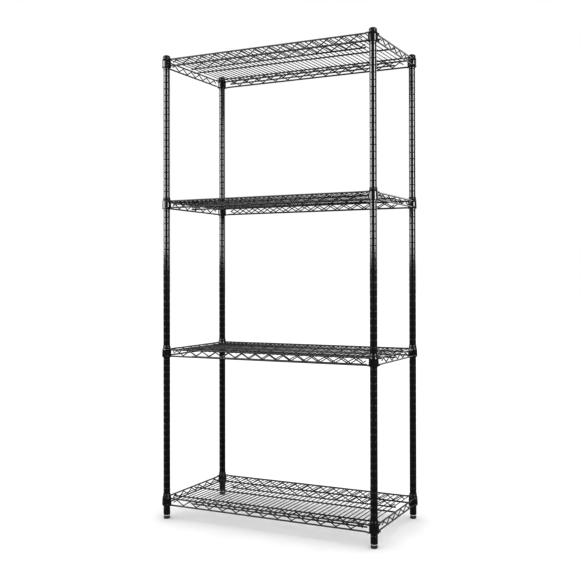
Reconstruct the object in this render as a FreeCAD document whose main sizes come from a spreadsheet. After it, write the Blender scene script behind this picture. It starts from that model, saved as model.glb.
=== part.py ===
"""Wire shelving rack: four grooved posts, four wire shelves, split sleeves, levelling feet.

Millimetres, +Z up, +X along the shelves, +Y to the rear.
The origin is on the floor at the middle of the rack's footprint.
Every shelf is drawn once, with the lower edge of its collars at z = 0, and placed four times.
"""
import FreeCAD, Part
import math
import os

import Sketcher
from FreeCAD import Placement, Rotation, Vector

DIMENSIONS = [
    # alias, value, what it is
    ("overall_height", 1828.8, "floor to the top of the post caps"),
    ("post_spacing_long", 876.3, "post centre to post centre along X"),
    ("post_spacing_deep", 419.1, "post centre to post centre along Y"),
    ("post_radius", 12.7, "outside radius of a post tube"),
    ("post_wall", 1.5, "wall of a post tube"),
    ("foot_height", 15.0, "floor to the lower end of the post tubes"),
    ("groove_pitch", 25.4, "distance between rolled grooves"),
    ("groove_count", 70, "rolled grooves in one post"),
    ("groove_depth", 0.8, "depth of a rolled groove"),
    ("groove_mouth", 3.0, "height of a groove at the tube's surface"),
    ("groove_floor", 1.4, "height of a groove at its floor"),
    ("bottom_shelf_level", 53.0, "floor to the lower edge of the bottom shelf's collars"),
    ("lower_shelf_level", 637.2, "the same for the second shelf, 23 grooves higher"),
    ("upper_shelf_level", 1221.4, "the same for the third shelf, 23 grooves higher"),
    ("top_shelf_level", 1780.2, "the same for the top shelf, 22 grooves higher"),
    ("cap_head", 8.0, "height of a cap above its tube"),
    ("cap_rounding", 5.5, "rounding of a cap's upper edge"),
    ("cap_plug", 16.0, "depth of a cap's plug inside the tube"),
    ("cap_plug_wall", 2.0, "wall of a cap's hollow plug"),
    ("weld_gap", 0.05, "clearance that stands for each weld and each press fit"),
    ("insert_depth", 22.0, "height of the threaded insert in a post's lower end"),
    ("stem_radius", 5.0, "radius of a foot's threaded stem"),
    ("stem_clearance", 0.25, "radial clearance round the stem"),
    ("stem_length", 28.0, "length of the stem inside the post"),
    ("hex_radius", 10.4, "corner radius of a stem's hexagon"),
    ("hex_height", 4.2, "height of a stem's hexagon"),
    ("pad_radius", 12.0, "radius of a foot pad"),
    ("pad_height", 10.0, "height of a foot pad"),
    ("pad_rounding", 1.8, "rounding of a foot pad's lower edge"),
    ("pad_waist_height", 5.5, "floor to the middle of the groove round a foot pad"),
    ("pad_waist_radius", 0.9, "radius of that groove's section"),
    ("pad_waist_out", 0.4, "centre of that section, outwards from the pad's surface"),
    ("pad_socket", 7.0, "depth of the stem's socket in a foot pad"),
    ("swivel_gap", 0.3, "clearance between a foot pad and its stem"),
    ("sleeve_drop", 2.0, "how far a sleeve reaches below its collar"),
    ("sleeve_length", 46.0, "height of a sleeve"),
    ("sleeve_foot_radius", 15.95, "outside radius of a sleeve at its foot"),
    ("sleeve_top_radius", 14.5, "outside radius of a sleeve at its top"),
    ("sleeve_split", 0.8, "gap between the two halves of a sleeve"),
    ("rib_height", 16.0, "height of a sleeve's rib above the collar's lower edge"),
    ("rib_ring_radius", 13.3, "radius of the circle through the rib's middle"),
    ("rib_radius", 1.1, "radius of the rib's section"),
    ("collar_height", 32.0, "height of a corner collar"),
    ("collar_foot_radius", 18.0, "outside radius of a collar at its foot"),
    ("collar_top_radius", 16.7, "outside radius of a collar at its top"),
    ("collar_gap", 0.3, "clearance between a sleeve and its collar"),
    ("rim_radius", 2.75, "radius of the rim wires"),
    ("rim_top", 29.0, "height of the long upper rim wires"),
    ("rim_bottom", 3.0, "height of the lower rim wires"),
    ("rim_offset", 9.0, "rim wires, outwards from the line through the post centres"),
    ("rim_short", 10.0, "how far a rim wire ends short of the post's centre line"),
    ("hug_start", 30.0, "where a rim wire starts to swing out, from the post's centre"),
    ("hug_bend", 8.0, "bend radius of the swing"),
    ("deck_radius", 1.5, "radius of the deck wires"),
    ("deck_pitch", 19.7, "distance between deck wires"),
    ("deck_count", 43, "deck wires in one shelf"),
    ("deck_drop", 3.0, "deck wires, below the long upper rim wires"),
    ("support_radius", 2.5, "radius of the lengthwise wires under the deck"),
    ("inner_truss_inset", 60.0, "inner trusses, inwards from the line through the post centres"),
    ("inner_truss_depth", 24.0, "support wire to the lower chord of an inner truss"),
    ("inner_truss_shift", 14.0, "inner trusses, along X from the middle of the shelf"),
    ("inner_chord_past", 20.0, "how far a lower chord runs past its last weld"),
    ("truss_wire_radius", 1.75, "radius of the zigzag wires"),
    ("truss_pitch", 59.0, "distance between the lower bends of a zigzag wire"),
    ("truss_bend", 5.0, "bend radius of the zigzag wires"),
    ("long_truss_bends", 13, "lower bends in a long rim truss"),
    ("side_truss_bends", 5, "lower bends in a side rim truss"),
    ("inner_truss_bends", 13, "lower bends in an inner truss"),
    ("side_truss_shift", 10.0, "side trusses, along Y from the middle of the side"),
    ("truss_tail", 0.55, "part of a leg that is left as a zigzag wire's free end"),
]

SHELVES = ["bottom", "lower", "upper", "top"]
CORNERS = {"front_left": (-1, -1), "front_right": (1, -1), "rear_left": (-1, 1), "rear_right": (1, 1)}

doc = FreeCAD.newDocument("WireShelvingRack")
sheet = doc.addObject("Spreadsheet::Sheet", "Dimensions")
for line, (alias, value, note) in enumerate(DIMENSIONS, start=1):
    sheet.set(f"A{line}", note)
    sheet.set(f"B{line}", str(value))
    sheet.setAlias(f"B{line}", alias)
doc.recompute()

size = {alias: float(sheet.get(alias)) for alias, value, note in DIMENSIONS}
finished = []

SLEEVE_TAPER = "((Dimensions.sleeve_foot_radius - Dimensions.sleeve_top_radius) / Dimensions.sleeve_length)"


def bind(thing, **expressions):
    """Bind properties of an object to expressions; base_x, base_y and base_z set its position."""
    for name, text in expressions.items():
        target = f".Placement.Base.{name[-1]}" if name.startswith("base_") else name
        thing.setExpression(target, text)
    return thing


def cylinder(name, radius, height, **place):
    """A Part cylinder whose radius, height and position are expressions."""
    return bind(doc.addObject("Part::Cylinder", name), Radius=radius, Height=height, **place)


def cone(name, foot_radius, top_radius, height, **place):
    """A Part cone whose radii, height and position are expressions."""
    solid = doc.addObject("Part::Cone", name)
    return bind(solid, Radius1=foot_radius, Radius2=top_radius, Height=height, **place)


def torus(name, ring_radius, section_radius, **place):
    """A Part torus whose radii and position are expressions."""
    return bind(doc.addObject("Part::Torus", name), Radius1=ring_radius, Radius2=section_radius, **place)


def cut(name, base, tool):
    """base with tool taken away."""
    result = doc.addObject("Part::Cut", name)
    result.Base = base
    result.Tool = tool
    return result


def fuse(name, pieces):
    """One solid made of pieces."""
    result = doc.addObject("Part::MultiFuse", name)
    result.Shapes = pieces
    result.Refine = True
    return result


def group(name, pieces, **place):
    """A set of separate solids that can be placed as one."""
    result = doc.addObject("Part::Compound", name)
    result.Links = pieces
    return bind(result, **place)


def rounded(name, base, edge_is_wanted, radius):
    """base with the chosen edges filleted; radius is the alias of the fillet's radius."""
    doc.recompute()
    result = doc.addObject("Part::Fillet", name)
    result.Base = base
    wanted = [i for i, edge in enumerate(base.Shape.Edges, start=1) if edge_is_wanted(edge)]
    result.Edges = [(i, size[radius], size[radius]) for i in wanted]
    return result


def is_circle_at(height):
    """A test for circular edges at one height."""
    def test(edge):
        level = abs(edge.BoundBox.ZMin - height) < 0.01 and abs(edge.BoundBox.ZMax - height) < 0.01
        return level and isinstance(edge.Curve, Part.Circle)
    return test


def corner_place(corner):
    """Expressions for the X and Y of one post's axis."""
    x_side, y_side = CORNERS[corner]
    return {
        "base_x": f"{x_side} * Dimensions.post_spacing_long / 2",
        "base_y": f"{y_side} * Dimensions.post_spacing_deep / 2",
    }


def finish_part(label, pieces, **place):
    """One sub-part of the rack: a placed copy of its master pieces, labelled with its node name."""
    result = group(label, pieces, **place)
    result.Label = label
    finished.append(result)
    return result


# ---------------------------------------------------------------- posts and their ends

def pin_vertex(sketch, line, x_expression, y_expression):
    """Fix the first point of a sketch line with two driven distances from the sketch's origin."""
    for kind, text in (("DistanceX", x_expression), ("DistanceY", y_expression)):
        point = sketch.getPoint(line, 1)
        start = point.x if kind == "DistanceX" else point.y
        index = sketch.addConstraint(Sketcher.Constraint(kind, -1, 1, line, 1, start))
        sketch.setExpression(f"Constraints[{index}]", text)


def body_plane(body, role):
    """One of a body's own origin planes."""
    return next(plane for plane in body.Origin.OriginFeatures if plane.Role == role)


def make_post():
    """A tube with a rolled groove at every inch, standing on z = 0 of its own frame."""
    body = doc.addObject("PartDesign::Body", "PostMaster")
    ring = body.newObject("Sketcher::SketchObject", "PostSection")
    ring.AttachmentSupport = [(body_plane(body, "XY_Plane"), "")]
    ring.MapMode = "FlatFace"
    up = Vector(0, 0, 1)
    radii = {"Dimensions.post_radius": size["post_radius"],
             "Dimensions.post_radius - Dimensions.post_wall": size["post_radius"] - size["post_wall"]}
    for text, radius in radii.items():
        circle = ring.addGeometry(Part.Circle(Vector(0, 0, 0), up, radius), False)
        ring.addConstraint(Sketcher.Constraint("Coincident", circle, 3, -1, 1))
        index = ring.addConstraint(Sketcher.Constraint("Radius", circle, radius))
        ring.setExpression(f"Constraints[{index}]", text)
    tube = body.newObject("PartDesign::Pad", "PostTube")
    tube.Profile = ring
    bind(tube, Length="Dimensions.overall_height - Dimensions.cap_head - Dimensions.foot_height")
    doc.recompute()

    profile = body.newObject("Sketcher::SketchObject", "GrooveSection")
    profile.AttachmentSupport = [(body_plane(body, "XZ_Plane"), "")]
    profile.MapMode = "FlatFace"
    first = ("(Dimensions.bottom_shelf_level + Dimensions.rib_height"
             " - Dimensions.groove_pitch - Dimensions.foot_height)")
    first_height = (size["bottom_shelf_level"] + size["rib_height"]
                    - size["groove_pitch"] - size["foot_height"])
    outside = size["post_radius"] + size["groove_depth"]
    inside = size["post_radius"] - size["groove_depth"]
    # The flanks go on past the tube's surface by the groove's depth, so the mouth has its full height there.
    wide = size["groove_mouth"] - size["groove_floor"] / 2
    narrow = size["groove_floor"] / 2
    wide_text = "(Dimensions.groove_mouth - Dimensions.groove_floor / 2)"
    narrow_text = "(Dimensions.groove_floor / 2)"
    out_text = "Dimensions.post_radius + Dimensions.groove_depth"
    in_text = "Dimensions.post_radius - Dimensions.groove_depth"
    corners = [
        (outside, first_height - wide, out_text, f"{first} - {wide_text}"),
        (inside, first_height - narrow, in_text, f"{first} - {narrow_text}"),
        (inside, first_height + narrow, in_text, f"{first} + {narrow_text}"),
        (outside, first_height + wide, out_text, f"{first} + {wide_text}"),
    ]
    points = [Vector(x, y, 0) for x, y, x_text, y_text in corners]
    lines = [Part.LineSegment(points[i], points[(i + 1) % 4]) for i in range(4)]
    profile.addGeometry(lines, False)
    for i in range(4):
        profile.addConstraint(Sketcher.Constraint("Coincident", i, 2, (i + 1) % 4, 1))
    for i, (x, y, x_text, y_text) in enumerate(corners):
        pin_vertex(profile, i, x_text, y_text)
    groove = body.newObject("PartDesign::Groove", "RolledGroove")
    groove.Profile = profile
    groove.ReferenceAxis = (profile, ["V_Axis"])
    groove.Angle = 360
    doc.recompute()

    pattern = body.newObject("PartDesign::LinearPattern", "RolledGrooves")
    pattern.Originals = [groove]
    pattern.Direction = (ring, ["N_Axis"])
    bind(pattern, Length="Dimensions.groove_pitch * (Dimensions.groove_count - 1)",
         Occurrences="Dimensions.groove_count")
    body.Tip = pattern
    return body


def make_cap():
    """A plug cap: a rounded head as wide as the tube, and a hollow plug inside it."""
    head = cylinder("CapHead", "Dimensions.post_radius", "Dimensions.cap_head")
    top = rounded("CapHeadRounded", head, is_circle_at(size["cap_head"]), "cap_rounding")
    plug_radius = "Dimensions.post_radius - Dimensions.post_wall - Dimensions.weld_gap"
    plug = cylinder("CapPlug", plug_radius, "Dimensions.cap_plug", base_z="-Dimensions.cap_plug")
    solid = fuse("CapSolid", [top, plug])
    hollow = cylinder("CapHollow", f"{plug_radius} - Dimensions.cap_plug_wall", "Dimensions.cap_plug",
                      base_z="-Dimensions.cap_plug")
    return cut("CapMaster", solid, hollow)


def make_insert():
    """The threaded insert pressed into the lower end of a post."""
    outer = "Dimensions.post_radius - Dimensions.post_wall - Dimensions.weld_gap"
    barrel = cylinder("InsertBarrel", outer, "Dimensions.insert_depth")
    bore = cylinder("InsertBore", "Dimensions.stem_radius + Dimensions.stem_clearance",
                    "Dimensions.insert_depth")
    return cut("InsertMaster", barrel, bore)


def make_stem():
    """A foot's stem: its thread's envelope, its hexagon, and a spigot that turns in the pad."""
    below = "(Dimensions.foot_height - Dimensions.pad_height)"
    rod = cylinder("StemRod", "Dimensions.stem_radius", f"Dimensions.stem_length + {below}",
                   base_z=f"-{below}")
    hexagon = doc.addObject("Part::Prism", "StemHexagon")
    hexagon.Polygon = 6
    bind(hexagon, Circumradius="Dimensions.hex_radius", Height="Dimensions.hex_height",
         base_z=f"-{below} + Dimensions.swivel_gap")
    spigot = cylinder("StemSpigot", "Dimensions.stem_radius",
                      "Dimensions.pad_socket - Dimensions.swivel_gap",
                      base_z=f"-{below} - Dimensions.pad_socket + Dimensions.swivel_gap")
    return fuse("StemMaster", [rod, hexagon, spigot])


def make_pad():
    """A foot pad: a rounded puck with a shallow waist and a socket for the stem, on the floor."""
    puck = cylinder("PadPuck", "Dimensions.pad_radius", "Dimensions.pad_height")
    puck = rounded("PadRounded", puck, is_circle_at(0), "pad_rounding")
    waist = torus("PadWaist", "Dimensions.pad_radius + Dimensions.pad_waist_out",
                  "Dimensions.pad_waist_radius", base_z="Dimensions.pad_waist_height")
    socket = cylinder("PadSocket", "Dimensions.stem_radius + Dimensions.swivel_gap", "Dimensions.pad_socket",
                      base_z="Dimensions.pad_height - Dimensions.pad_socket")
    return cut("PadMaster", cut("PadWaisted", puck, waist), socket)


def make_sleeve():
    """A tapered sleeve in two halves, with an inner rib that sits in a post groove."""
    shell = cone("SleeveCone", "Dimensions.sleeve_foot_radius", "Dimensions.sleeve_top_radius",
                 "Dimensions.sleeve_length", base_z="-Dimensions.sleeve_drop")
    bore = cylinder("SleeveBore", "Dimensions.post_radius + Dimensions.weld_gap", "Dimensions.sleeve_length",
                    base_z="-Dimensions.sleeve_drop")
    rib = torus("SleeveRib", "Dimensions.rib_ring_radius", "Dimensions.rib_radius",
                base_z="Dimensions.rib_height")
    ribbed = fuse("SleeveRibbed", [cut("SleeveBored", shell, bore), rib])
    slot = doc.addObject("Part::Box", "SleeveSlot")
    bind(slot, Length="4 * Dimensions.post_radius", Width="Dimensions.sleeve_split",
         Height="2 * Dimensions.sleeve_length", base_x="-2 * Dimensions.post_radius",
         base_y="-Dimensions.sleeve_split / 2", base_z="-Dimensions.sleeve_length / 2")
    return cut("SleeveMaster", ribbed, slot)


# ---------------------------------------------------------------- one shelf

def make_collar():
    """A tapered ring that wedges down over a sleeve."""
    outer = cone("CollarOuter", "Dimensions.collar_foot_radius", "Dimensions.collar_top_radius",
                 "Dimensions.collar_height")
    foot = (f"Dimensions.sleeve_foot_radius - {SLEEVE_TAPER} * Dimensions.sleeve_drop"
            " + Dimensions.collar_gap")
    top = f"{foot} - {SLEEVE_TAPER} * Dimensions.collar_height"
    inner = cone("CollarInner", foot, top, "Dimensions.collar_height")
    return cut("CollarMaster", outer, inner)


def bent_wire(name, points, radius, bend):
    """A round wire along straight runs joined by tangent bends.

    The number and the places of its bends follow from the sizes in the sheet,
    so the shape is made here from Part's own functions.
    """
    edges = []
    start = points[0]
    for before, corner, after in zip(points, points[1:], points[2:]):
        inward = (before - corner).normalize()
        outward = (after - corner).normalize()
        half_turn = (math.pi - inward.getAngle(outward)) / 2
        tangent = bend * math.tan(half_turn)
        bisector = (inward + outward).normalize()
        middle = corner + bisector * (bend / math.cos(half_turn) - bend)
        first = corner + inward * tangent
        last = corner + outward * tangent
        edges.append(Part.LineSegment(start, first).toShape())
        edges.append(Part.Arc(first, middle, last).toShape())
        start = last
    edges.append(Part.LineSegment(start, points[-1]).toShape())
    path = Part.Wire(edges)
    section = Part.Wire([Part.makeCircle(radius, points[0], (points[1] - points[0]).normalize())])
    wire = doc.addObject("Part::Feature", name)
    wire.Shape = path.makePipeShell([section], True, False)
    expected = math.pi * radius ** 2 * path.Length
    if abs(wire.Shape.Volume / expected - 1) > 0.01:
        raise RuntimeError(f"{name}: volume {wire.Shape.Volume:.0f}, expected {expected:.0f}")
    return wire


def rim_outline(half_length, height):
    """Half of a rim wire's plan, from its middle to its end on a collar's flank: (along, out) pairs."""
    taper = (size["collar_foot_radius"] - size["collar_top_radius"]) / size["collar_height"]
    collar_radius = size["collar_foot_radius"] - taper * (height - size["rim_radius"])
    reach = collar_radius + size["rim_radius"] + 2 * size["weld_gap"]
    return [
        (half_length - size["hug_start"], size["rim_offset"]),
        (half_length - size["rim_short"], math.sqrt(reach ** 2 - size["rim_short"] ** 2)),
    ]


def rim_wire(name, half_length, line, height, to_point):
    """A rim wire; line is how far the post centre line lies out, to_point turns plan into space."""
    half = rim_outline(half_length, height)
    plan = [(-along, out) for along, out in reversed(half)] + half
    points = [to_point(along, line + out, height) for along, out in plan]
    return bent_wire(name, points, size["rim_radius"], size["hug_bend"])


def zigzag_points(bends, low, high, tails_at_top):
    """(along, height) pairs of a zigzag wire's corners, with a free tail at each end."""
    step = size["truss_pitch"] / 2
    half_turn = math.atan2(high - low, step)
    overshoot = size["truss_bend"] * (1 / math.cos(half_turn) - 1)
    peak = high + overshoot
    valley = low - overshoot
    reach = bends if tails_at_top else bends - 1
    corners = []
    for i in range(-reach, reach + 1):
        is_valley = (i + bends) % 2 == 1
        corners.append((i * step, valley if is_valley else peak))
    fall = size["truss_tail"] * (peak - valley) * (-1 if tails_at_top else 1)
    run = size["truss_tail"] * step
    first, last = corners[0], corners[-1]
    return [(first[0] - run, first[1] + fall)] + corners + [(last[0] + run, last[1] + fall)]


def front_to_space(along, out, height):
    """A point of a long side: out is towards the front."""
    return Vector(along, -out, height)


def side_to_space(along, out, height):
    """A point of a short side: out is towards +X."""
    return Vector(out, along, height)


def mirrored(name, source, normal):
    """A mirror image of a piece through a plane that holds the rack's upright axis."""
    result = doc.addObject("Part::Mirroring", name)
    result.Source = source
    result.Normal = normal
    return result


def make_shelf():
    """The masters of one shelf's sub-parts, by name."""
    half_long = size["post_spacing_long"] / 2
    half_deep = size["post_spacing_deep"] / 2
    rim_top = size["rim_top"]
    rim_bottom = size["rim_bottom"]
    gap = size["weld_gap"]
    deck_height = rim_top - size["deck_drop"]
    support_height = deck_height - size["deck_radius"] - size["support_radius"] - gap
    side_top = support_height + size["support_radius"] + size["rim_radius"] + gap
    across_x = Vector(1, 0, 0)
    across_y = Vector(0, 1, 0)

    # Rim: two wires on every side.
    rims = []
    for level, height in (("Top", rim_top), ("Bottom", rim_bottom)):
        front = rim_wire(f"FrontRim{level}", half_long, half_deep, height, front_to_space)
        rims += [front, mirrored(f"RearRim{level}", front, across_y)]
    for level, height in (("Top", side_top), ("Bottom", rim_bottom)):
        right = rim_wire(f"RightRim{level}", half_deep, half_long, height, side_to_space)
        rims += [right, mirrored(f"LeftRim{level}", right, across_x)]

    # Zigzag wires between the rim wires.
    truss_clear = size["rim_radius"] + size["truss_wire_radius"] + gap
    out_long = half_deep + size["rim_offset"]
    out_side = half_long + size["rim_offset"]
    long_bends = int(size["long_truss_bends"])
    side_bends = int(size["side_truss_bends"])
    corners = zigzag_points(long_bends, rim_bottom + truss_clear, rim_top - truss_clear, True)
    front_zigzag = bent_wire("FrontZigzag", [front_to_space(x, out_long, z) for x, z in corners],
                             size["truss_wire_radius"], size["truss_bend"])
    corners = zigzag_points(side_bends, rim_bottom + truss_clear, side_top - truss_clear, True)
    shift = size["side_truss_shift"]
    right_zigzag = bent_wire("RightZigzag", [side_to_space(y + shift, out_side, z) for y, z in corners],
                             size["truss_wire_radius"], size["truss_bend"])
    zigzags = [front_zigzag, mirrored("RearZigzag", front_zigzag, across_y),
               right_zigzag, mirrored("LeftZigzag", right_zigzag, across_x)]

    # Lengthwise wires under the deck; the outer two are the upper chords of the inner trusses.
    # They end under the side rim wires, just inside the side zigzag wires.
    support_text = ("Dimensions.rim_top - Dimensions.deck_drop - Dimensions.deck_radius"
                    " - Dimensions.support_radius - Dimensions.weld_gap")
    inset_text = "(Dimensions.post_spacing_deep / 2 - Dimensions.inner_truss_inset)"
    half_support = ("(Dimensions.post_spacing_long / 2 + Dimensions.rim_offset"
                    " - Dimensions.truss_wire_radius - Dimensions.weld_gap)")
    along_x = Rotation(Vector(0, 1, 0), 90)
    supports = []
    for side in (-1, 0, 1):
        wire = cylinder("SupportWire", "Dimensions.support_radius", f"2 * {half_support}")
        wire.Placement = Placement(Vector(0, 0, 0), along_x)
        bind(wire, base_x=f"-{half_support}", base_y=f"{side} * {inset_text}", base_z=support_text)
        supports.append(wire)

    # Inner trusses: a lower chord and a zigzag wire under each outer support wire.
    chord_height = support_height - size["inner_truss_depth"]
    inner_clear = size["support_radius"] + size["truss_wire_radius"] + gap
    inner_bends = int(size["inner_truss_bends"])
    corners = zigzag_points(inner_bends, chord_height + inner_clear, support_height - inner_clear, False)
    inset = half_deep - size["inner_truss_inset"]
    shift = size["inner_truss_shift"]
    inner_zigzag = bent_wire("InnerZigzag", [front_to_space(x + shift, inset, z) for x, z in corners],
                             size["truss_wire_radius"], size["truss_bend"])
    half_chord = ("(Dimensions.truss_pitch * (Dimensions.inner_truss_bends - 1) / 2"
                  " + Dimensions.inner_chord_past)")
    chord = cylinder("InnerChord", "Dimensions.support_radius", f"2 * {half_chord}")
    chord.Placement = Placement(Vector(0, 0, 0), along_x)
    bind(chord, base_x=f"Dimensions.inner_truss_shift - {half_chord}", base_y=f"-{inset_text}",
         base_z=f"{support_text} - Dimensions.inner_truss_depth")
    inner = [chord, mirrored("RearInnerChord", chord, across_y),
             inner_zigzag, mirrored("RearInnerZigzag", inner_zigzag, across_y)]

    # Deck wires, front to rear, butted against the inner flanks of the long rim wires.
    flank = math.sqrt(size["rim_radius"] ** 2 - (size["deck_drop"] - size["deck_radius"]) ** 2)
    half_deck = out_long - flank - gap
    along_y = Rotation(Vector(1, 0, 0), -90)
    deck = []
    for i in range(int(size["deck_count"])):
        wire = cylinder("DeckWire", "Dimensions.deck_radius", f"{2 * half_deck}")
        wire.Placement = Placement(Vector(0, -half_deck, 0), along_y)
        bind(wire, base_x=f"({i} - (Dimensions.deck_count - 1) / 2) * Dimensions.deck_pitch",
             base_z="Dimensions.rim_top - Dimensions.deck_drop")
        deck.append(wire)

    collar = make_collar()
    collars = [group("CornerCollar", [collar], **corner_place(corner)) for corner in CORNERS]
    return {
        "collars": collars,
        "rim_wires": rims,
        "truss_wires": zigzags,
        "inner_trusses": inner,
        "support_wires": supports,
        "deck_wires": deck,
    }


# ---------------------------------------------------------------- the whole rack

def assemble():
    """Place every sub-part of the rack."""
    post = make_post()
    cap = make_cap()
    insert = make_insert()
    stem = make_stem()
    pad = make_pad()
    sleeve = make_sleeve()
    shelf = make_shelf()
    foot = "Dimensions.foot_height"
    for corner in CORNERS:
        place = corner_place(corner)
        finish_part(f"{corner}_post", [post], base_z=foot, **place)
        finish_part(f"{corner}_post_cap", [cap],
                    base_z="Dimensions.overall_height - Dimensions.cap_head", **place)
        finish_part(f"{corner}_threaded_insert", [insert], base_z=foot, **place)
        finish_part(f"{corner}_foot_stem", [stem], base_z=foot, **place)
        finish_part(f"{corner}_foot_pad", [pad], **place)
    for level in SHELVES:
        height = f"Dimensions.{level}_shelf_level"
        for corner in CORNERS:
            finish_part(f"{level}_{corner}_sleeve", [sleeve], base_z=height, **corner_place(corner))
        for name, pieces in shelf.items():
            finish_part(f"{level}_shelf_{name}", pieces, base_z=height)


def check_document():
    """Stop if any object failed, or if a sub-part's shape is missing or not valid."""
    for thing in doc.Objects:
        if "Invalid" in thing.State or "Error" in thing.State:
            raise RuntimeError(f"{thing.Label} failed: {thing.State}")
    for part in finished:
        if part.Shape.isNull() or not part.Shape.isValid():
            raise RuntimeError(f"{part.Label} has no valid shape")


def export_parts():
    """Write each sub-part's solids to its own STEP file."""
    os.makedirs("parts", exist_ok=True)
    for part in finished:
        solids = part.Shape.Solids
        shape = solids[0] if len(solids) == 1 else Part.makeCompound(solids)
        shape.exportStep(f"parts/{part.Label}.step")
        print(f"{part.Label}: {len(solids)} solids, {shape.Volume / 1000:.2f} cm3")


assemble()
doc.recompute()
check_document()
export_parts()
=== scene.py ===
"""Looks of the wire shelving rack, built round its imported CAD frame.

Metres, +Z up, +X along the shelves, +Y to the rear, as in the CAD.
A shelf's pieces are modelled once, with the lower edge of its collars at z = 0, and placed four times.
"""

import math

import bpy
from mathutils import Matrix, Vector


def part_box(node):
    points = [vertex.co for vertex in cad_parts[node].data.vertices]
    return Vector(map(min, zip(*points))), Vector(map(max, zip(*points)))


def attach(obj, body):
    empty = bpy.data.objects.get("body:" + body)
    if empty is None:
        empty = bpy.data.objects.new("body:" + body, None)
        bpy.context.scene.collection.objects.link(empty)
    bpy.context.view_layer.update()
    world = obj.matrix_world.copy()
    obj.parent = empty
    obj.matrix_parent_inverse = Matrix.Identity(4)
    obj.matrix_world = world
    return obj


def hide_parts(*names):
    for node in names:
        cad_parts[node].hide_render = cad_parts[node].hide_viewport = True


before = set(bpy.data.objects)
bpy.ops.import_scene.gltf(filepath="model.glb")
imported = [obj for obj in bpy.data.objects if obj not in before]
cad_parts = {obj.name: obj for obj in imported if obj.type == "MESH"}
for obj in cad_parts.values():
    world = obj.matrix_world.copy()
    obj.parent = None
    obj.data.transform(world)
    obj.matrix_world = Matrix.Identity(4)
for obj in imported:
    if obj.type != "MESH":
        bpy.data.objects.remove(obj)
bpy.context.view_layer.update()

SHELVES = ["bottom", "lower", "upper", "top"]
CORNERS = {"front_left": (-1, -1), "front_right": (1, -1), "rear_left": (-1, 1), "rear_right": (1, 1)}

# ---------------------------------------------------------------- sizes shared with the CAD

POST_RADIUS = 0.0127
POST_WALL = 0.0015
GROOVE_PITCH = 0.0254
GROOVE_COUNT = 70
GROOVE_DEPTH = 0.0008
GROOVE_MOUTH = 0.003
CAP_ROUNDING = 0.0055
CAP_PLUG = 0.016
CAP_PLUG_WALL = 0.002
FIT_GAP = 0.00005
INSERT_DEPTH = 0.022
STEM_RADIUS = 0.005
STEM_CLEARANCE = 0.00025
THREAD_PITCH = 0.0015
THREAD_DEPTH = 0.0008
HEX_RADIUS = 0.0104
HEX_HEIGHT = 0.0042
PAD_RADIUS = 0.012
PAD_HEIGHT = 0.010
PAD_SOCKET = 0.007
SWIVEL_GAP = 0.0003
SLEEVE_DROP = 0.002
SLEEVE_LENGTH = 0.046
SLEEVE_FOOT_RADIUS = 0.01595
SLEEVE_TOP_RADIUS = 0.0145
SLEEVE_SPLIT = 0.0008
SLEEVE_RIDGES = (0.0355, 0.0385, 0.0415)
RIB_HEIGHT = 0.016
RIB_DEPTH = 0.0005
COLLAR_HEIGHT = 0.032
COLLAR_FOOT_RADIUS = 0.018
COLLAR_TOP_RADIUS = 0.0167
COLLAR_GAP = 0.0003
RIM_RADIUS = 0.00275
RIM_TOP = 0.029
RIM_BOTTOM = 0.003
RIM_OFFSET = 0.009
RIM_SHORT = 0.010
HUG_START = 0.030
HUG_BEND = 0.008
DECK_RADIUS = 0.0015
DECK_PITCH = 0.0197
DECK_COUNT = 43
DECK_DROP = 0.003
SUPPORT_RADIUS = 0.0025
TRUSS_INSET = 0.060
TRUSS_DEPTH = 0.024
TRUSS_SHIFT = 0.014
CHORD_PAST = 0.020
ZIGZAG_RADIUS = 0.00175
ZIGZAG_PITCH = 0.059
ZIGZAG_BEND = 0.005
ZIGZAG_TAIL = 0.55
LONG_BENDS = 13
SIDE_BENDS = 5
INNER_BENDS = 13
SIDE_SHIFT = 0.010

# Half lengths, half widths and half heights of small flattened balls.
SNAP_TAB = (0.0026, 0.0032, 0.0008)
SUPPORT_WELD = (0.0021, 0.0021, 0.0007)
RIM_WELD = (0.0022, 0.0014, 0.0012)
BEND_WELD = (0.0034, 0.0017, 0.0008)

# ---------------------------------------------------------------- places read from the frame

level = {shelf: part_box(f"{shelf}_shelf_collars")[0].z for shelf in SHELVES}
post_low = {corner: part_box(f"{corner}_post")[0] for corner in CORNERS}
post_high = {corner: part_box(f"{corner}_post")[1] for corner in CORNERS}
axis = {corner: (post_low[corner] + post_high[corner]) / 2 for corner in CORNERS}
foot_height = post_low["front_left"].z
post_top = post_high["front_left"].z
rack_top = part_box("front_left_post_cap")[1].z
HALF_LONG = axis["front_right"].x
HALF_DEEP = axis["rear_right"].y

DECK_HEIGHT = RIM_TOP - DECK_DROP
SUPPORT_HEIGHT = DECK_HEIGHT - DECK_RADIUS - SUPPORT_RADIUS - FIT_GAP
SIDE_TOP = SUPPORT_HEIGHT + SUPPORT_RADIUS + RIM_RADIUS + FIT_GAP
CHORD_HEIGHT = SUPPORT_HEIGHT - TRUSS_DEPTH
OUT_LONG = HALF_DEEP + RIM_OFFSET
OUT_SIDE = HALF_LONG + RIM_OFFSET
INSET = HALF_DEEP - TRUSS_INSET


# ---------------------------------------------------------------- mesh building

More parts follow.
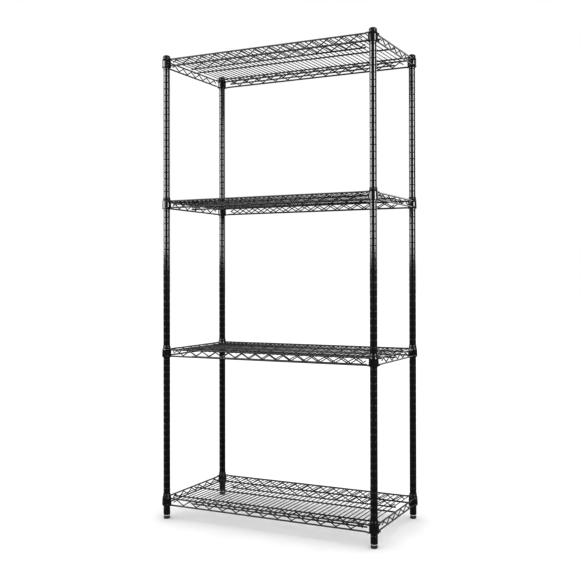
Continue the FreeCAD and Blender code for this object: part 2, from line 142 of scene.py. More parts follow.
class Shape:
    """Vertices and faces collected from several forms, made into one smooth mesh."""

    def __init__(self):
        self.points = []
        self.faces = []

    def skin(self, rings, along=False, caps=True):
        """Join closed rings of equally many points by quads; along joins the last ring to the first."""
        first = len(self.points)
        count = len(rings[0])
        for ring in rings:
            self.points.extend(ring)
        rows = len(rings) if along else len(rings) - 1
        for i in range(rows):
            low = first + i * count
            high = first + (i + 1) % len(rings) * count
            for j in range(count):
                k = (j + 1) % count
                self.faces.append((low + j, low + k, high + k, high + j))
        if caps and not along:
            last = first + (len(rings) - 1) * count
            self.faces.append(tuple(range(first, first + count))[::-1])
            self.faces.append(tuple(range(last, last + count)))

    def mesh(self, name, material, sharp_angle=40):
        """A mesh with shared smooth normals, except across edges sharper than sharp_angle degrees."""
        made = bpy.data.meshes.new(name)
        made.from_pydata([tuple(p) for p in self.points], [], self.faces)
        made.validate()
        made.materials.append(material)
        made.polygons.foreach_set("use_smooth", [True] * len(made.polygons))
        made.set_sharp_from_angle(angle=math.radians(sharp_angle))
        made.update()
        return made


def lathe(shape, profile, segments, centre=(0, 0, 0), closed=False, caps=True):
    """Turn a profile of (radius, height) pairs about the upright line through centre."""
    x, y, z = centre
    rings = []
    for radius, height in profile:
        ring = []
        for j in range(segments):
            turn = 2 * math.pi * j / segments
            ring.append(Vector((x + radius * math.cos(turn), y + radius * math.sin(turn), z + height)))
        rings.append(ring)
    shape.skin(rings, along=closed, caps=caps)


def half_turned(shape, profile, segments, start, sweep):
    """Turn a closed profile through part of a circle about the Z axis, and close its two ends."""
    slices = []
    for j in range(segments + 1):
        turn = start + sweep * j / segments
        slices.append([Vector((r * math.cos(turn), r * math.sin(turn), h)) for r, h in profile])
    shape.skin(slices)


def quarter(centre_radius, centre_height, radius, start, end, steps=5):
    """(radius, height) pairs of an arc between two angles in degrees, for use in a profile."""
    pairs = []
    for i in range(steps + 1):
        angle = math.radians(start + (end - start) * i / steps)
        pairs.append((centre_radius + radius * math.cos(angle), centre_height + radius * math.sin(angle)))
    return pairs


def bent(points, bend, steps=6):
    """The centre line of a wire: straight runs through points, joined by tangent arcs."""
    line = [points[0]]
    for before, corner, after in zip(points, points[1:], points[2:]):
        inward = (before - corner).normalized()
        outward = (after - corner).normalized()
        half_turn = (math.pi - inward.angle(outward)) / 2
        bisector = (inward + outward).normalized()
        centre = corner + bisector * (bend / math.cos(half_turn))
        tangent = bend * math.tan(half_turn)
        first = corner + inward * tangent - centre
        last = corner + outward * tangent - centre
        normal = first.cross(last).normalized()
        for i in range(steps + 1):
            turn = Matrix.Rotation(2 * half_turn * i / steps, 3, normal)
            line.append(centre + turn @ first)
    line.append(points[-1])
    return line


# A wire's cut end: (distance from the end, radius) pairs, as shares of the wire's radius.
CUT_END = [(0.0, 0.62), (0.1, 0.86), (0.4, 1.0)]


def wire(shape, line, radius, sides=14):
    """A round wire along a centre line, with slightly rounded cut ends inside its length."""
    directions = [(b - a).normalized() for a, b in zip(line, line[1:])]
    tangents = [directions[0]]
    tangents += [(a + b).normalized() for a, b in zip(directions, directions[1:])]
    tangents.append(directions[-1])
    side = tangents[0].orthogonal().normalized()
    rings = []
    for i, (point, tangent) in enumerate(zip(line, tangents)):
        side = (side - tangent * side.dot(tangent)).normalized()
        other = tangent.cross(side)
        stations = [(point, 1.0)]
        if i == 0:
            stations = [(point + tangent * radius * ahead, share) for ahead, share in CUT_END]
        if i == len(line) - 1:
            stations = [(point - tangent * radius * ahead, share) for ahead, share in reversed(CUT_END)]
        for centre, share in stations:
            ring = []
            for j in range(sides):
                turn = 2 * math.pi * j / sides
                offset = side * math.cos(turn) + other * math.sin(turn)
                ring.append(centre + offset * radius * share)
            rings.append(ring)
    shape.skin(rings)


def nugget(shape, centre, along, across, length, width, height):
    """A small weld nugget: a flattened ball, its length and width along two directions."""
    up = along.cross(across).normalized()
    slices, sides = 6, 8
    rings = []
    for i in range(1, slices):
        polar = math.pi * i / slices
        ring = []
        for j in range(sides):
            turn = 2 * math.pi * j / sides
            flat = along * length * math.cos(turn) + across * width * math.sin(turn)
            ring.append(centre + flat * math.sin(polar) - up * height * math.cos(polar))
        rings.append(ring)
    shape.skin(rings)


# ---------------------------------------------------------------- materials

NOISE_LOW = 0.3
NOISE_HIGH = 0.7


def new_material(name):
    """A node material and its Principled shader."""
    material = bpy.data.materials.new(name)
    material.use_nodes = True
    shader = material.node_tree.nodes["Principled BSDF"]
    return material, material.node_tree, shader


def noise(tree, scale, detail=4.0, stretch=(1, 1, 1)):
    """A noise texture on the object's own coordinates, and the socket with its value."""
    coordinates = tree.nodes.new("ShaderNodeTexCoord")
    mapping = tree.nodes.new("ShaderNodeMapping")
    mapping.inputs["Scale"].default_value = stretch
    texture = tree.nodes.new("ShaderNodeTexNoise")
    texture.inputs["Scale"].default_value = scale
    texture.inputs["Detail"].default_value = detail
    tree.links.new(coordinates.outputs["Object"], mapping.inputs["Vector"])
    tree.links.new(mapping.outputs["Vector"], texture.inputs["Vector"])
    return texture.outputs["Fac"]


def ramp(tree, value, stops):
    """A colour ramp over a value: stops are (position, colour) pairs."""
    node = tree.nodes.new("ShaderNodeValToRGB")
    node.color_ramp.elements[0].position = stops[0][0]
    node.color_ramp.elements[0].color = (*stops[0][1], 1)
    node.color_ramp.elements[1].position = stops[-1][0]
    node.color_ramp.elements[1].color = (*stops[-1][1], 1)
    for position, colour in stops[1:-1]:
        node.color_ramp.elements.new(position).color = (*colour, 1)
    tree.links.new(value, node.inputs["Fac"])
    return node.outputs["Color"]


def spread(tree, value, low, high):
    """Noise, which mostly lies within NOISE_LOW and NOISE_HIGH, stretched to lie between low and high."""
    node = tree.nodes.new("ShaderNodeMapRange")
    node.inputs["From Min"].default_value = NOISE_LOW
    node.inputs["From Max"].default_value = NOISE_HIGH
    node.inputs["To Min"].default_value = low
    node.inputs["To Max"].default_value = high
    tree.links.new(value, node.inputs["Value"])
    return node.outputs["Result"]


def bump(tree, shader, layers):
    """Bump layers, each a (height socket, strength, distance) triple, one on top of the other."""
    before = None
    for height, strength, distance in layers:
        node = tree.nodes.new("ShaderNodeBump")
        node.inputs["Strength"].default_value = strength
        node.inputs["Distance"].default_value = distance
        tree.links.new(height, node.inputs["Height"])
        if before is not None:
            tree.links.new(before, node.inputs["Normal"])
        before = node.outputs["Normal"]
    tree.links.new(before, shader.inputs["Normal"])


def epoxy_material():
    """Glossy black epoxy powder coat: a faint warm tint, orange peel and uneven gloss."""
    material, tree, shader = new_material("EpoxyCoat")
    cloud = noise(tree, 35, 5)
    colour = ramp(tree, cloud, [(0.3, (0.0027, 0.002, 0.0018)), (0.5, (0.0042, 0.0031, 0.0028)),
                                (0.72, (0.0075, 0.0054, 0.0047))])
    tree.links.new(colour, shader.inputs["Base Color"])
    tree.links.new(spread(tree, noise(tree, 120, 3), 0.1, 0.16), shader.inputs["Roughness"])
    shader.inputs["Specular IOR Level"].default_value = 0.42
    peel = noise(tree, 420, 2)
    specks = noise(tree, 2400, 2)
    bump(tree, shader, [(peel, 0.05, 0.0003), (specks, 0.02, 0.0001)])
    return material


def plastic_material(name, dark, light, roughness, grain, strength):
    """Moulded black plastic with a fine grain and faint flow marks."""
    material, tree, shader = new_material(name)
    flow = noise(tree, 60, 4, (1, 1, 0.3))
    tree.links.new(ramp(tree, flow, [(0.32, dark), (0.7, light)]), shader.inputs["Base Color"])
    tree.links.new(spread(tree, noise(tree, 300, 3), *roughness), shader.inputs["Roughness"])
    shader.inputs["Specular IOR Level"].default_value = 0.4
    bump(tree, shader, [(noise(tree, grain, 2), strength, 0.0002), (flow, 0.05, 0.0003)])
    return material


def zinc_material():
    """Bright zinc plate over turned steel: fine rings round the axis and a little spangle.

    It is only half metallic, because the floor isn't mirrored and a full metal would look dark.
    """
    material, tree, shader = new_material("ZincPlate")
    spangle = noise(tree, 900, 3)
    colour = ramp(tree, spangle, [(0.3, (0.5, 0.5, 0.49)), (0.55, (0.68, 0.67, 0.64)),
                                  (0.75, (0.76, 0.75, 0.71))])
    tree.links.new(colour, shader.inputs["Base Color"])
    shader.inputs["Metallic"].default_value = 0.5
    tree.links.new(spread(tree, noise(tree, 500, 4), 0.22, 0.4), shader.inputs["Roughness"])
    bump(tree, shader, [(noise(tree, 400, 2, (0.05, 0.05, 6)), 0.12, 0.0001), (spangle, 0.05, 0.0001)])
    return material


epoxy = epoxy_material()
sleeve_plastic = plastic_material("SleevePlastic", (0.004, 0.004, 0.004), (0.009, 0.009, 0.009),
                                  roughness=(0.18, 0.28), grain=2500, strength=0.08)
cap_plastic = plastic_material("CapPlastic", (0.004, 0.0038, 0.0038), (0.009, 0.0085, 0.0085),
                               roughness=(0.14, 0.22), grain=2000, strength=0.06)
pad_plastic = plastic_material("PadPlastic", (0.01, 0.0095, 0.009), (0.022, 0.021, 0.02),
                               roughness=(0.42, 0.6), grain=1800, strength=0.3)
zinc = zinc_material()


# ---------------------------------------------------------------- placing

def place(mesh, name, body, at, nodes):
    """One piece of a mesh at a point, riding on a body and standing for CAD nodes."""
    piece = bpy.data.objects.new(name, mesh)
    bpy.context.scene.collection.objects.link(piece)
    piece.location = at
    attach(piece, body)
    if nodes:
        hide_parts(*nodes)


# ---------------------------------------------------------------- posts, caps, inserts and feet

def post_mesh():
    """A tube with softly rolled grooves; z = 0 is its lower end."""
    length = post_top - foot_height
    first_groove = level["bottom"] + RIB_HEIGHT - GROOVE_PITCH - foot_height
    edge = 0.0004
    inside = POST_RADIUS - POST_WALL
    outline = [(inside, edge), (inside + edge, 0), (POST_RADIUS - edge, 0), (POST_RADIUS, edge)]
    across_groove = [-1.25, -1, -0.72, -0.45, -0.2, 0, 0.2, 0.45, 0.72, 1, 1.25]
    for i in range(GROOVE_COUNT):
        middle = first_groove + i * GROOVE_PITCH
        for share in across_groove:
            depth = GROOVE_DEPTH * (0.5 + 0.5 * math.cos(math.pi * min(1, abs(share))))
            outline.append((POST_RADIUS - depth, middle + share * GROOVE_MOUTH / 2))
    outline += [(POST_RADIUS, length - edge), (POST_RADIUS - edge, length), (inside, length)]
    shape = Shape()
    lathe(shape, outline, 56, closed=True)
    return shape.mesh("PostMesh", epoxy)


def cap_mesh():
    """A domed cap with a fine seam where it meets its tube, and a hollow plug; z = 0 is the tube's end."""
    head = rack_top - post_top
    seam = 0.0003
    plug = POST_RADIUS - POST_WALL - FIT_GAP
    hollow = plug - CAP_PLUG_WALL
    ceiling = -0.001
    crown = 0.0004
    shy = 0.00001
    tip = 0.03
    outline = [(hollow, -CAP_PLUG), (plug - seam, -CAP_PLUG), (plug, -CAP_PLUG + seam), (plug, FIT_GAP),
               (POST_RADIUS - seam, FIT_GAP), (POST_RADIUS, FIT_GAP + seam)]
    outline += quarter(POST_RADIUS - CAP_ROUNDING, head - CAP_ROUNDING - crown, CAP_ROUNDING, 0, 80, 9)
    rim = outline[-1][0]
    for share in (0.75, 0.5, 0.25, tip):
        outline.append((rim * share, head - crown * share ** 2 - shy))
    shape = Shape()
    lathe(shape, outline + [(tip * rim, ceiling), (hollow, ceiling)], 48, closed=True)
    return shape.mesh("CapMesh", cap_plastic)


def insert_mesh():
    """The threaded insert in a post's lower end, with a chamfered bore; z = 0 is the post's end."""
    outer = POST_RADIUS - POST_WALL - FIT_GAP
    bore = STEM_RADIUS + STEM_CLEARANCE
    chamfer = 0.0007
    outline = [(bore + chamfer, 0), (outer - chamfer, 0), (outer, chamfer), (outer, INSERT_DEPTH),
               (bore, INSERT_DEPTH), (bore, chamfer)]
    shape = Shape()
    lathe(shape, outline, 40, closed=True)
    return shape.mesh("InsertMesh", zinc)


def stem_mesh(low, high):
    """A foot's stem: a real thread, a chamfered hexagon with its washer face, and a spigot."""
    shape = Shape()
    sides = 24
    rings_per_turn = 8
    flank_slope = 2.4
    chamfer = 0.0004
    hex_low = PAD_HEIGHT + SWIVEL_GAP - low
    thread_start = hex_low + HEX_HEIGHT
    thread_end = high - low
    rings = []
    steps = int((thread_end - thread_start) / THREAD_PITCH * rings_per_turn)
    for i in range(steps + 1):
        height = thread_start + (thread_end - thread_start) * i / steps
        ring = []
        for j in range(sides):
            turn = 2 * math.pi * j / sides
            phase = (height / THREAD_PITCH - j / sides) % 1
            flank = min(1.0, flank_slope * abs(phase - 0.5))
            lead_in = min(1.0, (thread_end - height) / THREAD_PITCH)
            radius = STEM_RADIUS - THREAD_DEPTH * (1 - flank * lead_in)
            ring.append(Vector((radius * math.cos(turn), radius * math.sin(turn), height)))
        rings.append(ring)
    shape.skin(rings)
    lathe(shape, [(STEM_RADIUS - chamfer, 0), (STEM_RADIUS, chamfer), (STEM_RADIUS, hex_low)], 32)
    add_hexagon(shape, hex_low, HEX_HEIGHT)
    return shape.mesh("StemMesh", zinc, 25)


def add_hexagon(shape, foot, height):
    """A hexagon whose corners are chamfered above and below, as on a nut."""
    per_side = 6
    flat = HEX_RADIUS * math.cos(math.pi / 6)
    chamfer = 0.0008
    inside_flat = 0.0002
    levels = [(0, 0.0), (chamfer * 0.5, 0.55), (chamfer, 1.0), (height - chamfer, 1.0),
              (height - chamfer * 0.5, 0.55), (height, 0.0)]
    rings = []
    for rise, share in levels:
        ring = []
        for j in range(6 * per_side):
            turn = 2 * math.pi * j / (6 * per_side)
            off_flat = (turn + math.pi / 6) % (math.pi / 3) - math.pi / 6
            full = flat / math.cos(math.pi / 6 - abs(off_flat))
            limit = flat - inside_flat + (HEX_RADIUS - flat) * share
            radius = min(full, limit)
            ring.append(Vector((radius * math.cos(turn), radius * math.sin(turn), foot + rise)))
        rings.append(ring)
    shape.skin(rings)


def pad_mesh():
    """A foot pad: rounded lower edge, a groove round it, a crisp upper edge and a dished socket."""
    rounding = 0.0018
    upper_rounding = 0.0006
    socket = STEM_RADIUS + SWIVEL_GAP
    socket_floor = PAD_HEIGHT - PAD_SOCKET
    chamfer = 0.0005
    groove = 0.0009
    groove_height = 0.0055
    groove_shift = 0.0003
    core = 0.002
    hollow = 0.0002
    outline = [(core, hollow)]
    outline += quarter(PAD_RADIUS - rounding, rounding, rounding, -90, 0)
    outline += quarter(PAD_RADIUS + groove_shift, groove_height, groove, 250, 110, 8)
    outline += quarter(PAD_RADIUS - upper_rounding, PAD_HEIGHT - upper_rounding, upper_rounding, 0, 90, 4)
    outline += [(socket + chamfer, PAD_HEIGHT), (socket, PAD_HEIGHT - chamfer), (socket, socket_floor),
                (core, socket_floor)]
    shape = Shape()
    lathe(shape, outline, 48, closed=True)
    lathe(shape, [(core, hollow), (1.05 * core, 5 * hollow), (core, socket_floor)], 24)
    return shape.mesh("PadMesh", pad_plastic)


def build_posts():
    """Posts, caps, inserts and feet at the four corners."""
    stem_low, stem_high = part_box("front_left_foot_stem")
    meshes = post_mesh(), cap_mesh(), insert_mesh(), stem_mesh(stem_low.z, stem_high.z), pad_mesh()
    post, cap, insert, stem, pad = meshes
    for corner in CORNERS:
        x, y = axis[corner].x, axis[corner].y
        place(post, f"{corner}_grooved_tube", "posts", (x, y, foot_height), [f"{corner}_post"])
        place(cap, f"{corner}_domed_cap", "posts", (x, y, post_top), [f"{corner}_post_cap"])
        place(insert, f"{corner}_insert", "posts", (x, y, foot_height),
              [f"{corner}_threaded_insert"])
        place(stem, f"{corner}_stem", f"{corner}_stem", (x, y, stem_low.z),
              [f"{corner}_foot_stem"])
        place(pad, f"{corner}_pad", f"{corner}_pad", (x, y, 0), [f"{corner}_foot_pad"])


# ---------------------------------------------------------------- sleeves

def sleeve_radius(height):
    """Outside radius of a sleeve, above its collar's lower edge."""
    share = (height + SLEEVE_DROP) / SLEEVE_LENGTH
    return SLEEVE_FOOT_RADIUS + (SLEEVE_TOP_RADIUS - SLEEVE_FOOT_RADIUS) * share


def sleeve_mesh():
    """Both halves of a tapered sleeve, with ridges near the top and a snap tab across each split."""
    bore = POST_RADIUS + FIT_GAP
    low = -SLEEVE_DROP
    high = SLEEVE_LENGTH - SLEEVE_DROP
    edge = 0.0005
    ridge = 0.0004
    outline = [(bore, low + edge), (bore + edge, low), (sleeve_radius(low) - edge, low),
               (sleeve_radius(low), low + edge)]
    ridge_foot, ridge_crest = 0.0008, 0.0003
    for middle in SLEEVE_RIDGES:
        for rise, proud in ((-ridge_foot, 0), (-ridge_crest, ridge), (ridge_crest, ridge), (ridge_foot, 0)):
            outline.append((sleeve_radius(middle + rise) - ridge + proud, middle + rise))
    outline += [(sleeve_radius(high) - edge, high), (bore + edge, high), (bore, high - edge),
                (bore, RIB_HEIGHT + RIB_DEPTH * 2), (bore - RIB_DEPTH, RIB_HEIGHT),
                (bore, RIB_HEIGHT - RIB_DEPTH * 2)]
    half_split = SLEEVE_SPLIT / 2 / SLEEVE_TOP_RADIUS
    tab_height = SLEEVE_RIDGES[1]
    shape = Shape()
    for start in (0, math.pi):
        half_turned(shape, outline, 26, start + half_split, math.pi - 2 * half_split)
        tab = Vector((math.cos(start), math.sin(start), 0))
        side = Vector((-tab.y, tab.x, 0))
        middle = tab * (sleeve_radius(tab_height) - ridge) + Vector((0, 0, tab_height))
        nugget(shape, middle, side, Vector((0, 0, 1)), *SNAP_TAB)
    return shape.mesh("SleeveMesh", sleeve_plastic)


def build_sleeves():
    """The sixteen sleeves; they belong to the posts."""
    mesh = sleeve_mesh()
    for shelf in SHELVES:
        for corner in CORNERS:
            at = (axis[corner].x, axis[corner].y, level[shelf])
            place(mesh, f"{shelf}_{corner}_split_sleeve", "posts", at,
                  [f"{shelf}_{corner}_sleeve"])


# ---------------------------------------------------------------- one shelf

def collar_radius(height):
    """Outside radius of a collar at a height."""
    return COLLAR_FOOT_RADIUS + (COLLAR_TOP_RADIUS - COLLAR_FOOT_RADIUS) * height / COLLAR_HEIGHT


def collars_mesh():
    """Four tapered collars with rounded lips."""
    lip = 0.0008
    shape = Shape()
    for corner in CORNERS:
        outline = []
        for height, inner in ((lip, True), (0, True), (0, False), (lip, False)):
            out = collar_radius(height) - (lip if height == 0 else 0)
            core = sleeve_radius(height) + COLLAR_GAP + (lip if height == 0 else 0)
            outline.append((core if inner else out, height))
        for height in (0.25 * COLLAR_HEIGHT, 0.5 * COLLAR_HEIGHT, 0.75 * COLLAR_HEIGHT, COLLAR_HEIGHT - lip):
            outline.append((collar_radius(height), height))
        inner_top = sleeve_radius(COLLAR_HEIGHT) + COLLAR_GAP
        outline += [(collar_radius(COLLAR_HEIGHT) - 0.4 * lip, COLLAR_HEIGHT - 0.3 * lip),
                    (collar_radius(COLLAR_HEIGHT) - 0.8 * lip, COLLAR_HEIGHT),
                    (inner_top + 0.3 * lip, COLLAR_HEIGHT), (inner_top, COLLAR_HEIGHT - lip)]
        lathe(shape, outline, 48, (axis[corner].x, axis[corner].y, 0), closed=True)
    return shape.mesh("CollarsMesh", epoxy)


def long_side(side):
    """Turns (along, out, height) of a long side into a point; side is -1 for the front."""
    return lambda along, out, height: Vector((along, side * out, height))


def short_side(side):
    """Turns (along, out, height) of a short side into a point; side is 1 for +X."""
    return lambda along, out, height: Vector((side * out, along, height))


def rim_line(half_length, line, height, to_point):
    """The centre line of a rim wire, which swings out to a collar's flank at each end."""
    reach = collar_radius(height - RIM_RADIUS) + RIM_RADIUS + 2 * FIT_GAP
    half = [
        (half_length - HUG_START, RIM_OFFSET),
        (half_length - RIM_SHORT, math.sqrt(reach ** 2 - RIM_SHORT ** 2)),
    ]
    plan = [(-along, out) for along, out in reversed(half)] + half
    return bent([to_point(along, line + out, height) for along, out in plan], HUG_BEND)


def sides_of_a_shelf():
    """(half length, centre line, upper rim's height, point function) of a shelf's four sides."""
    return [
        (HALF_LONG, HALF_DEEP, RIM_TOP, long_side(-1)),
        (HALF_LONG, HALF_DEEP, RIM_TOP, long_side(1)),
        (HALF_DEEP, HALF_LONG, SIDE_TOP, short_side(1)),
        (HALF_DEEP, HALF_LONG, SIDE_TOP, short_side(-1)),
    ]


def rims_mesh():
    """The eight rim wires of a shelf."""
    shape = Shape()
    for half_length, line, top, to_point in sides_of_a_shelf():
        for height in (top, RIM_BOTTOM):
            wire(shape, rim_line(half_length, line, height, to_point), RIM_RADIUS, 18)
    return shape.mesh("RimsMesh", epoxy)


def zigzag_corners(bends, low, high, tails_at_top):
    """(along, height) pairs of a zigzag wire's corners, with a free tail at each end."""
    step = ZIGZAG_PITCH / 2
    half_turn = math.atan2(high - low, step)
    overshoot = ZIGZAG_BEND * (1 / math.cos(half_turn) - 1)
    peak = high + overshoot
    valley = low - overshoot
    reach = bends if tails_at_top else bends - 1
    corners = []
    for i in range(-reach, reach + 1):
        corners.append((i * step, valley if (i + bends) % 2 == 1 else peak))
    fall = ZIGZAG_TAIL * (peak - valley) * (-1 if tails_at_top else 1)
    run = ZIGZAG_TAIL * step
    start, end = corners[0], corners[-1]
    return [(start[0] - run, start[1] + fall)] + corners + [(end[0] + run, end[1] + fall)]


def rim_zigzags():
    """(corners, out, point function, shift) of the zigzag wires between a shelf's rim wires."""
    clear = RIM_RADIUS + ZIGZAG_RADIUS + FIT_GAP
    long_corners = zigzag_corners(LONG_BENDS, RIM_BOTTOM + clear, RIM_TOP - clear, True)
    side_corners = zigzag_corners(SIDE_BENDS, RIM_BOTTOM + clear, SIDE_TOP - clear, True)
    return [
        (long_corners, OUT_LONG, long_side(-1), 0),
        (long_corners, OUT_LONG, long_side(1), 0),
        (side_corners, OUT_SIDE, short_side(1), SIDE_SHIFT),
        (side_corners, OUT_SIDE, short_side(-1), SIDE_SHIFT),
    ]


def trusses_mesh():
    """The zigzag wires between the rim wires."""
    shape = Shape()
    for corners, out, to_point, shift in rim_zigzags():
        line = bent([to_point(along + shift, out, height) for along, height in corners], ZIGZAG_BEND)
        wire(shape, line, ZIGZAG_RADIUS, 14)
    return shape.mesh("TrussesMesh", epoxy)


def inner_corners():
    """Corners of the zigzag wire of an inner truss."""
    clear = SUPPORT_RADIUS + ZIGZAG_RADIUS + FIT_GAP
    return zigzag_corners(INNER_BENDS, CHORD_HEIGHT + clear, SUPPORT_HEIGHT - clear, False)


def inner_trusses_mesh():
    """The lower chord and the zigzag wire of both inner trusses."""
    shape = Shape()
    half_chord = ZIGZAG_PITCH * (INNER_BENDS - 1) / 2 + CHORD_PAST
    for side in (-1, 1):
        to_point = long_side(side)
        ends = [to_point(TRUSS_SHIFT + end * half_chord, INSET, CHORD_HEIGHT) for end in (-1, 1)]
        wire(shape, ends, SUPPORT_RADIUS, 16)
        line = bent([to_point(along + TRUSS_SHIFT, INSET, height) for along, height in inner_corners()],
                    ZIGZAG_BEND)
        wire(shape, line, ZIGZAG_RADIUS, 14)
    return shape.mesh("InnerTrussesMesh", epoxy)


def supports_mesh():
    """The three lengthwise wires under the deck."""
    shape = Shape()
    reach = OUT_SIDE - ZIGZAG_RADIUS - FIT_GAP
    for side in (-1, 0, 1):
        ends = [Vector((end * reach, side * INSET, SUPPORT_HEIGHT)) for end in (-1, 1)]
        wire(shape, ends, SUPPORT_RADIUS, 16)
    return shape.mesh("SupportsMesh", epoxy)


def deck_places():
    """The X of every deck wire."""
    return [(i - (DECK_COUNT - 1) / 2) * DECK_PITCH for i in range(DECK_COUNT)]


def deck_reach():
    """Half the length of a deck wire, which butts against the flanks of the long rim wires."""
    flank = math.sqrt(RIM_RADIUS ** 2 - (DECK_DROP - DECK_RADIUS) ** 2)
    return OUT_LONG - flank - FIT_GAP


def deck_mesh():
    """The deck wires, from front to rear."""
    shape = Shape()
    for x in deck_places():
        ends = [Vector((x, end * deck_reach(), DECK_HEIGHT)) for end in (-1, 1)]
        wire(shape, ends, DECK_RADIUS, 12)
    return shape.mesh("DeckMesh", epoxy)


def welds_mesh():
    """Weld nuggets wherever two wires meet, and beads between the rim wires and the collars."""
    shape = Shape()
    along_x, along_y, along_z = Vector((1, 0, 0)), Vector((0, 1, 0)), Vector((0, 0, 1))
    inset = 0.0002
    for x in deck_places():
        for side in (-1, 0, 1):
            at = Vector((x, side * INSET, DECK_HEIGHT - DECK_RADIUS))
            nugget(shape, at, along_x, along_y, *SUPPORT_WELD)
        if abs(x) > HALF_LONG - HUG_START:
            continue
        for side in (-1, 1):
            at = Vector((x, side * (deck_reach() - inset), DECK_HEIGHT + inset))
            nugget(shape, at, along_x, along_z, *RIM_WELD)
    for corners, out, to_point, shift in rim_zigzags():
        add_bend_welds(shape, corners, out, to_point, shift)
    for side in (-1, 1):
        add_bend_welds(shape, inner_corners(), INSET, long_side(side), TRUSS_SHIFT)
    add_collar_beads(shape)
    return shape.mesh("WeldsMesh", epoxy)


def add_bend_welds(shape, corners, out, to_point, shift):
    """A nugget where each bend of a zigzag wire meets the wire above or below it."""
    bends = corners[1:-1]
    middle = sum(height for _, height in bends) / len(bends)
    half_turn = math.atan2(abs(bends[0][1] - bends[1][1]), ZIGZAG_PITCH / 2)
    overshoot = ZIGZAG_BEND * (1 / math.cos(half_turn) - 1)
    for along, height in bends:
        away = 1 if height > middle else -1
        contact = height + away * (ZIGZAG_RADIUS - overshoot)
        at = to_point(along + shift, out, contact)
        nugget(shape, at, to_point(1, 0, 0), to_point(0, 1, 0), *BEND_WELD)


def add_collar_beads(shape):
    """A weld bead in the crease on each side of a rim wire where it hugs a collar."""
    bead = 0.0011
    proud = 0.0003
    swung = math.asin(RIM_SHORT / (COLLAR_FOOT_RADIUS + RIM_RADIUS))
    bead_angles = (swung + 0.25, swung + 0.02)
    for half_length, line, top, to_point in sides_of_a_shelf():
        for height in (top, RIM_BOTTOM):
            for end in (-1, 1):
                for rise in (-1, 1):
                    level_here = height + rise * 0.75 * RIM_RADIUS
                    if level_here < bead or level_here > COLLAR_HEIGHT - bead:
                        continue
                    reach = collar_radius(level_here) + proud
                    ends = [to_point(end * (half_length - reach * math.sin(angle)),
                                     line + reach * math.cos(angle), level_here) for angle in bead_angles]
                    wire(shape, ends, bead, 10)


def build_shelves():
    """The four shelves, from one set of meshes."""
    groups = {
        "collars": ("tapered_collars", collars_mesh()),
        "rim_wires": ("rims", rims_mesh()),
        "truss_wires": ("rim_trusses", trusses_mesh()),
        "inner_trusses": ("lower_trusses", inner_trusses_mesh()),
        "support_wires": ("cross_supports", supports_mesh()),
        "deck_wires": ("deck", deck_mesh()),
    }
    welds = welds_mesh()
    for shelf in SHELVES:
        at = (0, 0, level[shelf])
        for node, (name, mesh) in groups.items():
            place(mesh, f"{shelf}_{name}", f"{shelf}_shelf", at, [f"{shelf}_shelf_{node}"])
        place(welds, f"{shelf}_welds", f"{shelf}_shelf", at, [])


# ---------------------------------------------------------------- studio

FLOOR_HALF = 40
# Name, place, point that it faces, width, height and radiance of each soft box.
SOFT_BOXES = [
    ("KeyLeft", (-1.95, -1.95, 1.95), (0, 0, 1.95), 3.9, 1.7, 13.0),
    ("KeyRight", (3.05, -0.95, 1.95), (0.2, 0, 1.95), 1.5, 1.7, 26.0),
    ("RearLeft", (-2.6, 2.3, 1.9), (0, 0, 1.7), 1.6, 1.7, 4.5),
    ("RearRight", (1.6, 3.1, 1.9), (0, 0, 1.7), 1.6, 1.7, 4.5),
]
OVERHEAD = ("Overhead", (0, 0, 4.2), (0, 0, 0), 2.6, 2.6, 0.8)
FILL_LIGHT = 1.2
MIRRORED_LIGHT = 0.45
BACKDROP_LIGHT = 1.0
# Below 1 it darkens what lies between black and white, such as wires thinner than a dot of the picture.
DISPLAY_GAMMA = 0.7

CAMERA_PLACE = (1.5613, -3.0642, 0.9527)
CAMERA_YAW = math.radians(26.032)
CAMERA_PITCH = math.radians(0.422)
CAMERA_ROLL = math.radians(-0.107)
CAMERA_LENS = 54.009
CAMERA_SHIFT = (-0.0244, -0.0345)


def build_floor():
    """A plain pale floor, large enough to have no edge in view."""
    material, tree, shader = new_material("FloorPaint")
    tone = ramp(tree, noise(tree, 3, 3), [(0.3, (0.9, 0.9, 0.9)), (0.7, (0.93, 0.93, 0.93))])
    tree.links.new(tone, shader.inputs["Base Color"])
    shader.inputs["Roughness"].default_value = 0.9
    shader.inputs["Specular IOR Level"].default_value = 0.1
    mesh = bpy.data.meshes.new("FloorMesh")
    corners = [(x * FLOOR_HALF, y * FLOOR_HALF, 0) for x, y in CORNERS.values()]
    mesh.from_pydata(corners, [], [(0, 1, 3, 2)])
    mesh.materials.append(material)
    floor = bpy.data.objects.new("Floor", mesh)
    bpy.context.scene.collection.objects.link(floor)
    floor.visible_glossy = False
    return floor


def soft_box(name, at, aim, width, height, radiance, spared=None):
    """A rectangular soft box at a point, facing another point; it doesn't light what spared excludes."""
    light = bpy.data.lights.new(name, "AREA")
    light.shape = "RECTANGLE"
    light.size = width
    light.size_y = height
    light.energy = radiance * math.pi * width * height
    holder = bpy.data.objects.new(name, light)
    bpy.context.scene.collection.objects.link(holder)
    holder.location = at
    holder.rotation_euler = (Vector(aim) - Vector(at)).to_track_quat("-Z", "Y").to_euler()
    holder.visible_camera = False
    if spared is not None:
        holder.light_linking.receiver_collection = spared


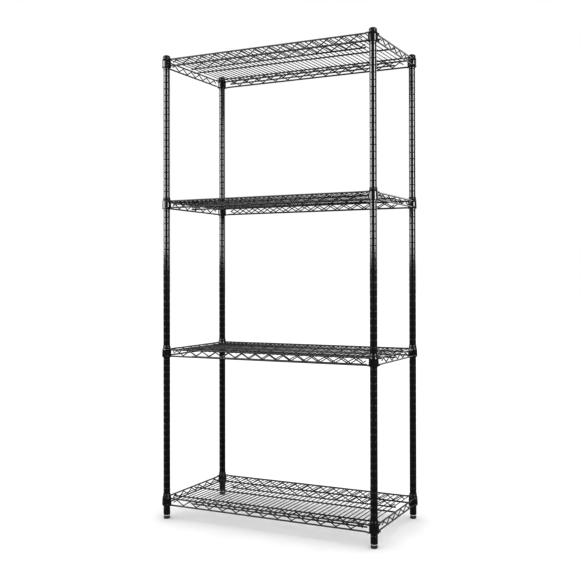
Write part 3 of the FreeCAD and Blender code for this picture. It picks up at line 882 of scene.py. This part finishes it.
def build_light(floor):
    """Tall soft boxes to the left and right, whose lower edges are at about the camera's height.

    The soft boxes spare the floor, which the even light of the world keeps pale right to its horizon.
    """
    spared = bpy.data.collections.new("Spared")
    spared.objects.link(floor)
    spared.collection_objects[0].light_linking.link_state = "EXCLUDE"
    for box in SOFT_BOXES:
        soft_box(*box, spared)
    soft_box(*OVERHEAD)


def background(tree, strength):
    """A plain white background of a strength."""
    node = tree.nodes.new("ShaderNodeBackground")
    node.inputs["Color"].default_value = (1, 1, 1, 1)
    node.inputs["Strength"].default_value = strength
    return node.outputs["Background"]


def build_world():
    """Even white light from all round, dimmer in reflections, and plain white as a backdrop."""
    world = bpy.data.worlds.new("Studio")
    bpy.context.scene.world = world
    world.use_nodes = True
    tree = world.node_tree
    tree.nodes.remove(tree.nodes["Background"])
    path = tree.nodes.new("ShaderNodeLightPath")
    light = background(tree, FILL_LIGHT)
    for ray, strength in (("Is Glossy Ray", MIRRORED_LIGHT), ("Is Camera Ray", BACKDROP_LIGHT)):
        mix = tree.nodes.new("ShaderNodeMixShader")
        tree.links.new(path.outputs[ray], mix.inputs["Fac"])
        tree.links.new(light, mix.inputs[1])
        tree.links.new(background(tree, strength), mix.inputs[2])
        light = mix.outputs["Shader"]
    tree.links.new(light, tree.nodes["World Output"].inputs["Surface"])


def build_camera():
    """The camera at the photograph's viewing angle: near eye level, to the right of the front."""
    data = bpy.data.cameras.new("Camera")
    data.sensor_width = 36
    data.lens = CAMERA_LENS
    data.shift_x, data.shift_y = CAMERA_SHIFT
    camera = bpy.data.objects.new("Camera", data)
    bpy.context.scene.collection.objects.link(camera)
    yaw = Matrix.Rotation(CAMERA_YAW, 4, "Z")
    pitch = Matrix.Rotation(math.pi / 2 + CAMERA_PITCH, 4, "X")
    roll = Matrix.Rotation(CAMERA_ROLL, 4, "Z")
    camera.matrix_world = Matrix.Translation(CAMERA_PLACE) @ yaw @ pitch @ roll
    bpy.context.scene.camera = camera


build_posts()
build_sleeves()
build_shelves()
build_light(build_floor())
build_world()
build_camera()
bpy.context.scene.view_settings.view_transform = "Standard"
bpy.context.scene.view_settings.gamma = DISPLAY_GAMMA

bpy.context.view_layer.update()
